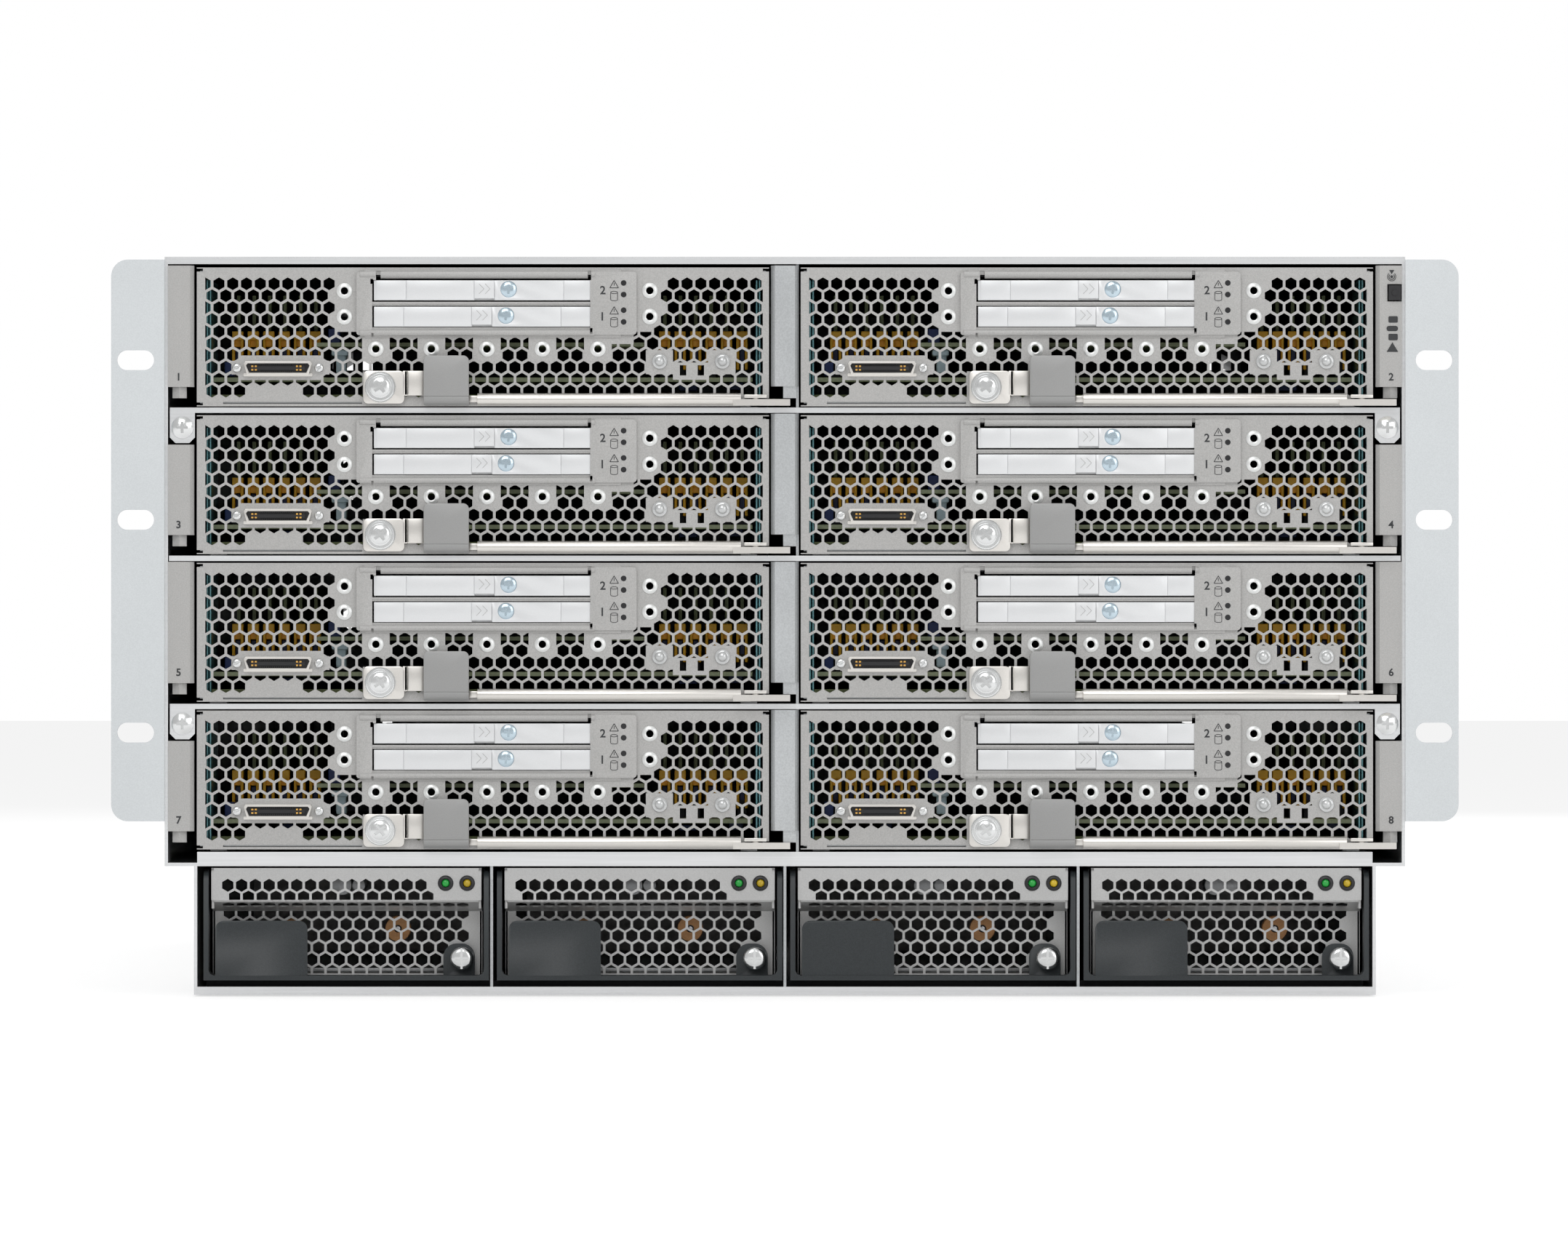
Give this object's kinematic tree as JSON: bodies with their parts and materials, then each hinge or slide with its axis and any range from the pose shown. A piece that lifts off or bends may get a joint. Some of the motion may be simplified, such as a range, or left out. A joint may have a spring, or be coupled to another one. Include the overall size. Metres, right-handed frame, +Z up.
{
  "type": "blade server chassis",
  "caption": "Rack chassis with half-width server blades that slide out on ejector levers, over a row of power supplies with swing-out handles.",
  "frame": {"origin": "middle of the chassis's underside", "axes": "+X to the right seen from the front, +Y towards the rear, +Z up"},
  "size_m": [0.4826, 0.8098, 0.2643],
  "materials": {
    "bright_zinc": "bright zinc-plated sheet steel",
    "grey_faceplate": "fine-textured warm grey paint",
    "ear_paint": "satin light blue-grey paint",
    "nickel": "satin nickel",
    "drive_carrier": "satin silver-white",
    "slate_paint": "satin dark slate paint",
    "psu_metal": "dull zinc-plated steel",
    "board": "green circuit board",
    "black_plastic": "matt black",
    "module_metal": "dull plated sheet",
    "fan_plastic": "matt black moulding"
  },
  "bodies": {
    "chassis": {"chassis_shell": "bright_zinc", "top_cover": "bright_zinc", "rack_ears": "ear_paint", "shelves": "bright_zinc", "dividers": "grey_faceplate", "slot_plates": "grey_faceplate", "chassis_screws": "nickel", "midplane": "board", "fan_modules": "fan_plastic", "io_modules": "module_metal", "power_inlets": "black_plastic"},
    "locator_button": {"locator_button": "black_plastic"},
    "psu_1": {"psu_1": "psu_metal"},
    "psu_handle_1": {"psu_1_handle": "slate_paint"},
    "psu_2": {"psu_2": "psu_metal"},
    "psu_handle_2": {"psu_2_handle": "slate_paint"},
    "psu_3": {"psu_3": "psu_metal"},
    "psu_handle_3": {"psu_3_handle": "slate_paint"},
    "psu_4": {"psu_4": "psu_metal"},
    "psu_handle_4": {"psu_4_handle": "slate_paint"},
    "blade_1": {"blade_1_case": "bright_zinc", "blade_1_faceplate": "grey_faceplate"},
    "lever_1": {"blade_1_lever": "nickel"},
    "drive_1_1": {"blade_1_drive_1": "drive_carrier"},
    "drive_1_2": {"blade_1_drive_2": "drive_carrier"},
    "blade_2": {"blade_2_case": "bright_zinc", "blade_2_faceplate": "grey_faceplate"},
    "lever_2": {"blade_2_lever": "nickel"},
    "drive_2_1": {"blade_2_drive_1": "drive_carrier"},
    "drive_2_2": {"blade_2_drive_2": "drive_carrier"},
    "blade_3": {"blade_3_case": "bright_zinc", "blade_3_faceplate": "grey_faceplate"},
    "lever_3": {"blade_3_lever": "nickel"},
    "drive_3_1": {"blade_3_drive_1": "drive_carrier"},
    "drive_3_2": {"blade_3_drive_2": "drive_carrier"},
    "blade_4": {"blade_4_case": "bright_zinc", "blade_4_faceplate": "grey_faceplate"},
    "lever_4": {"blade_4_lever": "nickel"},
    "drive_4_1": {"blade_4_drive_1": "drive_carrier"},
    "drive_4_2": {"blade_4_drive_2": "drive_carrier"},
    "blade_5": {"blade_5_case": "bright_zinc", "blade_5_faceplate": "grey_faceplate"},
    "lever_5": {"blade_5_lever": "nickel"},
    "drive_5_1": {"blade_5_drive_1": "drive_carrier"},
    "drive_5_2": {"blade_5_drive_2": "drive_carrier"},
    "blade_6": {"blade_6_case": "bright_zinc", "blade_6_faceplate": "grey_faceplate"},
    "lever_6": {"blade_6_lever": "nickel"},
    "drive_6_1": {"blade_6_drive_1": "drive_carrier"},
    "drive_6_2": {"blade_6_drive_2": "drive_carrier"},
    "blade_7": {"blade_7_case": "bright_zinc", "blade_7_faceplate": "grey_faceplate"},
    "lever_7": {"blade_7_lever": "nickel"},
    "drive_7_1": {"blade_7_drive_1": "drive_carrier"},
    "drive_7_2": {"blade_7_drive_2": "drive_carrier"},
    "blade_8": {"blade_8_case": "bright_zinc", "blade_8_faceplate": "grey_faceplate"},
    "lever_8": {"blade_8_lever": "nickel"},
    "drive_8_1": {"blade_8_drive_1": "drive_carrier"},
    "drive_8_2": {"blade_8_drive_2": "drive_carrier"}
  },
  "joints": [
    {"name": "locator_press", "type": "slide", "parent": "chassis", "child": "locator_button", "axis": [0, 1, 0], "range_m": [0, 0.0015], "stiffness_N_per_m": 200, "springref_m": -0.001},
    {"name": "psu_1_slide", "type": "slide", "parent": "chassis", "child": "psu_1", "axis": [0, -1, 0], "range_m": [0, 0.31]},
    {"name": "psu_1_handle_turn", "type": "hinge", "parent": "psu_1", "child": "psu_handle_1", "pos_m": [-0.20875, -0.39365, 0.0401], "axis": [-1, 0, 0], "range_deg": [0, 70]},
    {"name": "psu_2_slide", "type": "slide", "parent": "chassis", "child": "psu_2", "axis": [0, -1, 0], "range_m": [0, 0.31]},
    {"name": "psu_2_handle_turn", "type": "hinge", "parent": "psu_2", "child": "psu_handle_2", "pos_m": [-0.10365, -0.39365, 0.0401], "axis": [-1, 0, 0], "range_deg": [0, 70]},
    {"name": "psu_3_slide", "type": "slide", "parent": "chassis", "child": "psu_3", "axis": [0, -1, 0], "range_m": [0, 0.31]},
    {"name": "psu_3_handle_turn", "type": "hinge", "parent": "psu_3", "child": "psu_handle_3", "pos_m": [0.00145, -0.39365, 0.0401], "axis": [-1, 0, 0], "range_deg": [0, 70]},
    {"name": "psu_4_slide", "type": "slide", "parent": "chassis", "child": "psu_4", "axis": [0, -1, 0], "range_m": [0, 0.31]},
    {"name": "psu_4_handle_turn", "type": "hinge", "parent": "psu_4", "child": "psu_handle_4", "pos_m": [0.10655, -0.39365, 0.0401], "axis": [-1, 0, 0], "range_deg": [0, 70]},
    {"name": "blade_1_slide", "type": "slide", "parent": "chassis", "child": "blade_1", "axis": [0, -1, 0], "range_m": [0, 0.59]},
    {"name": "blade_1_lever_turn", "type": "hinge", "parent": "blade_1", "child": "lever_1", "pos_m": [-0.0105, -0.40215, 0.21135], "axis": [0, 0, 1], "range_deg": [0, 60]},
    {"name": "blade_1_drive_1_slide", "type": "slide", "parent": "blade_1", "child": "drive_1_1", "axis": [0, -1, 0], "range_m": [0, 0.112]},
    {"name": "blade_1_drive_2_slide", "type": "slide", "parent": "blade_1", "child": "drive_1_2", "axis": [0, -1, 0], "range_m": [0, 0.112]},
    {"name": "blade_2_slide", "type": "slide", "parent": "chassis", "child": "blade_2", "axis": [0, -1, 0], "range_m": [0, 0.59]},
    {"name": "blade_2_lever_turn", "type": "hinge", "parent": "blade_2", "child": "lever_2", "pos_m": [0.2065, -0.40215, 0.21135], "axis": [0, 0, 1], "range_deg": [0, 60]},
    {"name": "blade_2_drive_1_slide", "type": "slide", "parent": "blade_2", "child": "drive_2_1", "axis": [0, -1, 0], "range_m": [0, 0.112]},
    {"name": "blade_2_drive_2_slide", "type": "slide", "parent": "blade_2", "child": "drive_2_2", "axis": [0, -1, 0], "range_m": [0, 0.112]},
    {"name": "blade_3_slide", "type": "slide", "parent": "chassis", "child": "blade_3", "axis": [0, -1, 0], "range_m": [0, 0.59]},
    {"name": "blade_3_lever_turn", "type": "hinge", "parent": "blade_3", "child": "lever_3", "pos_m": [-0.0105, -0.40215, 0.1583], "axis": [0, 0, 1], "range_deg": [0, 60]},
    {"name": "blade_3_drive_1_slide", "type": "slide", "parent": "blade_3", "child": "drive_3_1", "axis": [0, -1, 0], "range_m": [0, 0.112]},
    {"name": "blade_3_drive_2_slide", "type": "slide", "parent": "blade_3", "child": "drive_3_2", "axis": [0, -1, 0], "range_m": [0, 0.112]},
    {"name": "blade_4_slide", "type": "slide", "parent": "chassis", "child": "blade_4", "axis": [0, -1, 0], "range_m": [0, 0.59]},
    {"name": "blade_4_lever_turn", "type": "hinge", "parent": "blade_4", "child": "lever_4", "pos_m": [0.2065, -0.40215, 0.1583], "axis": [0, 0, 1], "range_deg": [0, 60]},
    {"name": "blade_4_drive_1_slide", "type": "slide", "parent": "blade_4", "child": "drive_4_1", "axis": [0, -1, 0], "range_m": [0, 0.112]},
    {"name": "blade_4_drive_2_slide", "type": "slide", "parent": "blade_4", "child": "drive_4_2", "axis": [0, -1, 0], "range_m": [0, 0.112]},
    {"name": "blade_5_slide", "type": "slide", "parent": "chassis", "child": "blade_5", "axis": [0, -1, 0], "range_m": [0, 0.59]},
    {"name": "blade_5_lever_turn", "type": "hinge", "parent": "blade_5", "child": "lever_5", "pos_m": [-0.0105, -0.40215, 0.10525], "axis": [0, 0, 1], "range_deg": [0, 60]},
    {"name": "blade_5_drive_1_slide", "type": "slide", "parent": "blade_5", "child": "drive_5_1", "axis": [0, -1, 0], "range_m": [0, 0.112]},
    {"name": "blade_5_drive_2_slide", "type": "slide", "parent": "blade_5", "child": "drive_5_2", "axis": [0, -1, 0], "range_m": [0, 0.112]},
    {"name": "blade_6_slide", "type": "slide", "parent": "chassis", "child": "blade_6", "axis": [0, -1, 0], "range_m": [0, 0.59]},
    {"name": "blade_6_lever_turn", "type": "hinge", "parent": "blade_6", "child": "lever_6", "pos_m": [0.2065, -0.40215, 0.10525], "axis": [0, 0, 1], "range_deg": [0, 60]},
    {"name": "blade_6_drive_1_slide", "type": "slide", "parent": "blade_6", "child": "drive_6_1", "axis": [0, -1, 0], "range_m": [0, 0.112]},
    {"name": "blade_6_drive_2_slide", "type": "slide", "parent": "blade_6", "child": "drive_6_2", "axis": [0, -1, 0], "range_m": [0, 0.112]},
    {"name": "blade_7_slide", "type": "slide", "parent": "chassis", "child": "blade_7", "axis": [0, -1, 0], "range_m": [0, 0.59]},
    {"name": "blade_7_lever_turn", "type": "hinge", "parent": "blade_7", "child": "lever_7", "pos_m": [-0.0105, -0.40215, 0.0522], "axis": [0, 0, 1], "range_deg": [0, 60]},
    {"name": "blade_7_drive_1_slide", "type": "slide", "parent": "blade_7", "child": "drive_7_1", "axis": [0, -1, 0], "range_m": [0, 0.112]},
    {"name": "blade_7_drive_2_slide", "type": "slide", "parent": "blade_7", "child": "drive_7_2", "axis": [0, -1, 0], "range_m": [0, 0.112]},
    {"name": "blade_8_slide", "type": "slide", "parent": "chassis", "child": "blade_8", "axis": [0, -1, 0], "range_m": [0, 0.59]},
    {"name": "blade_8_lever_turn", "type": "hinge", "parent": "blade_8", "child": "lever_8", "pos_m": [0.2065, -0.40215, 0.0522], "axis": [0, 0, 1], "range_deg": [0, 60]},
    {"name": "blade_8_drive_1_slide", "type": "slide", "parent": "blade_8", "child": "drive_8_1", "axis": [0, -1, 0], "range_m": [0, 0.112]},
    {"name": "blade_8_drive_2_slide", "type": "slide", "parent": "blade_8", "child": "drive_8_2", "axis": [0, -1, 0], "range_m": [0, 0.112]}
  ]
}
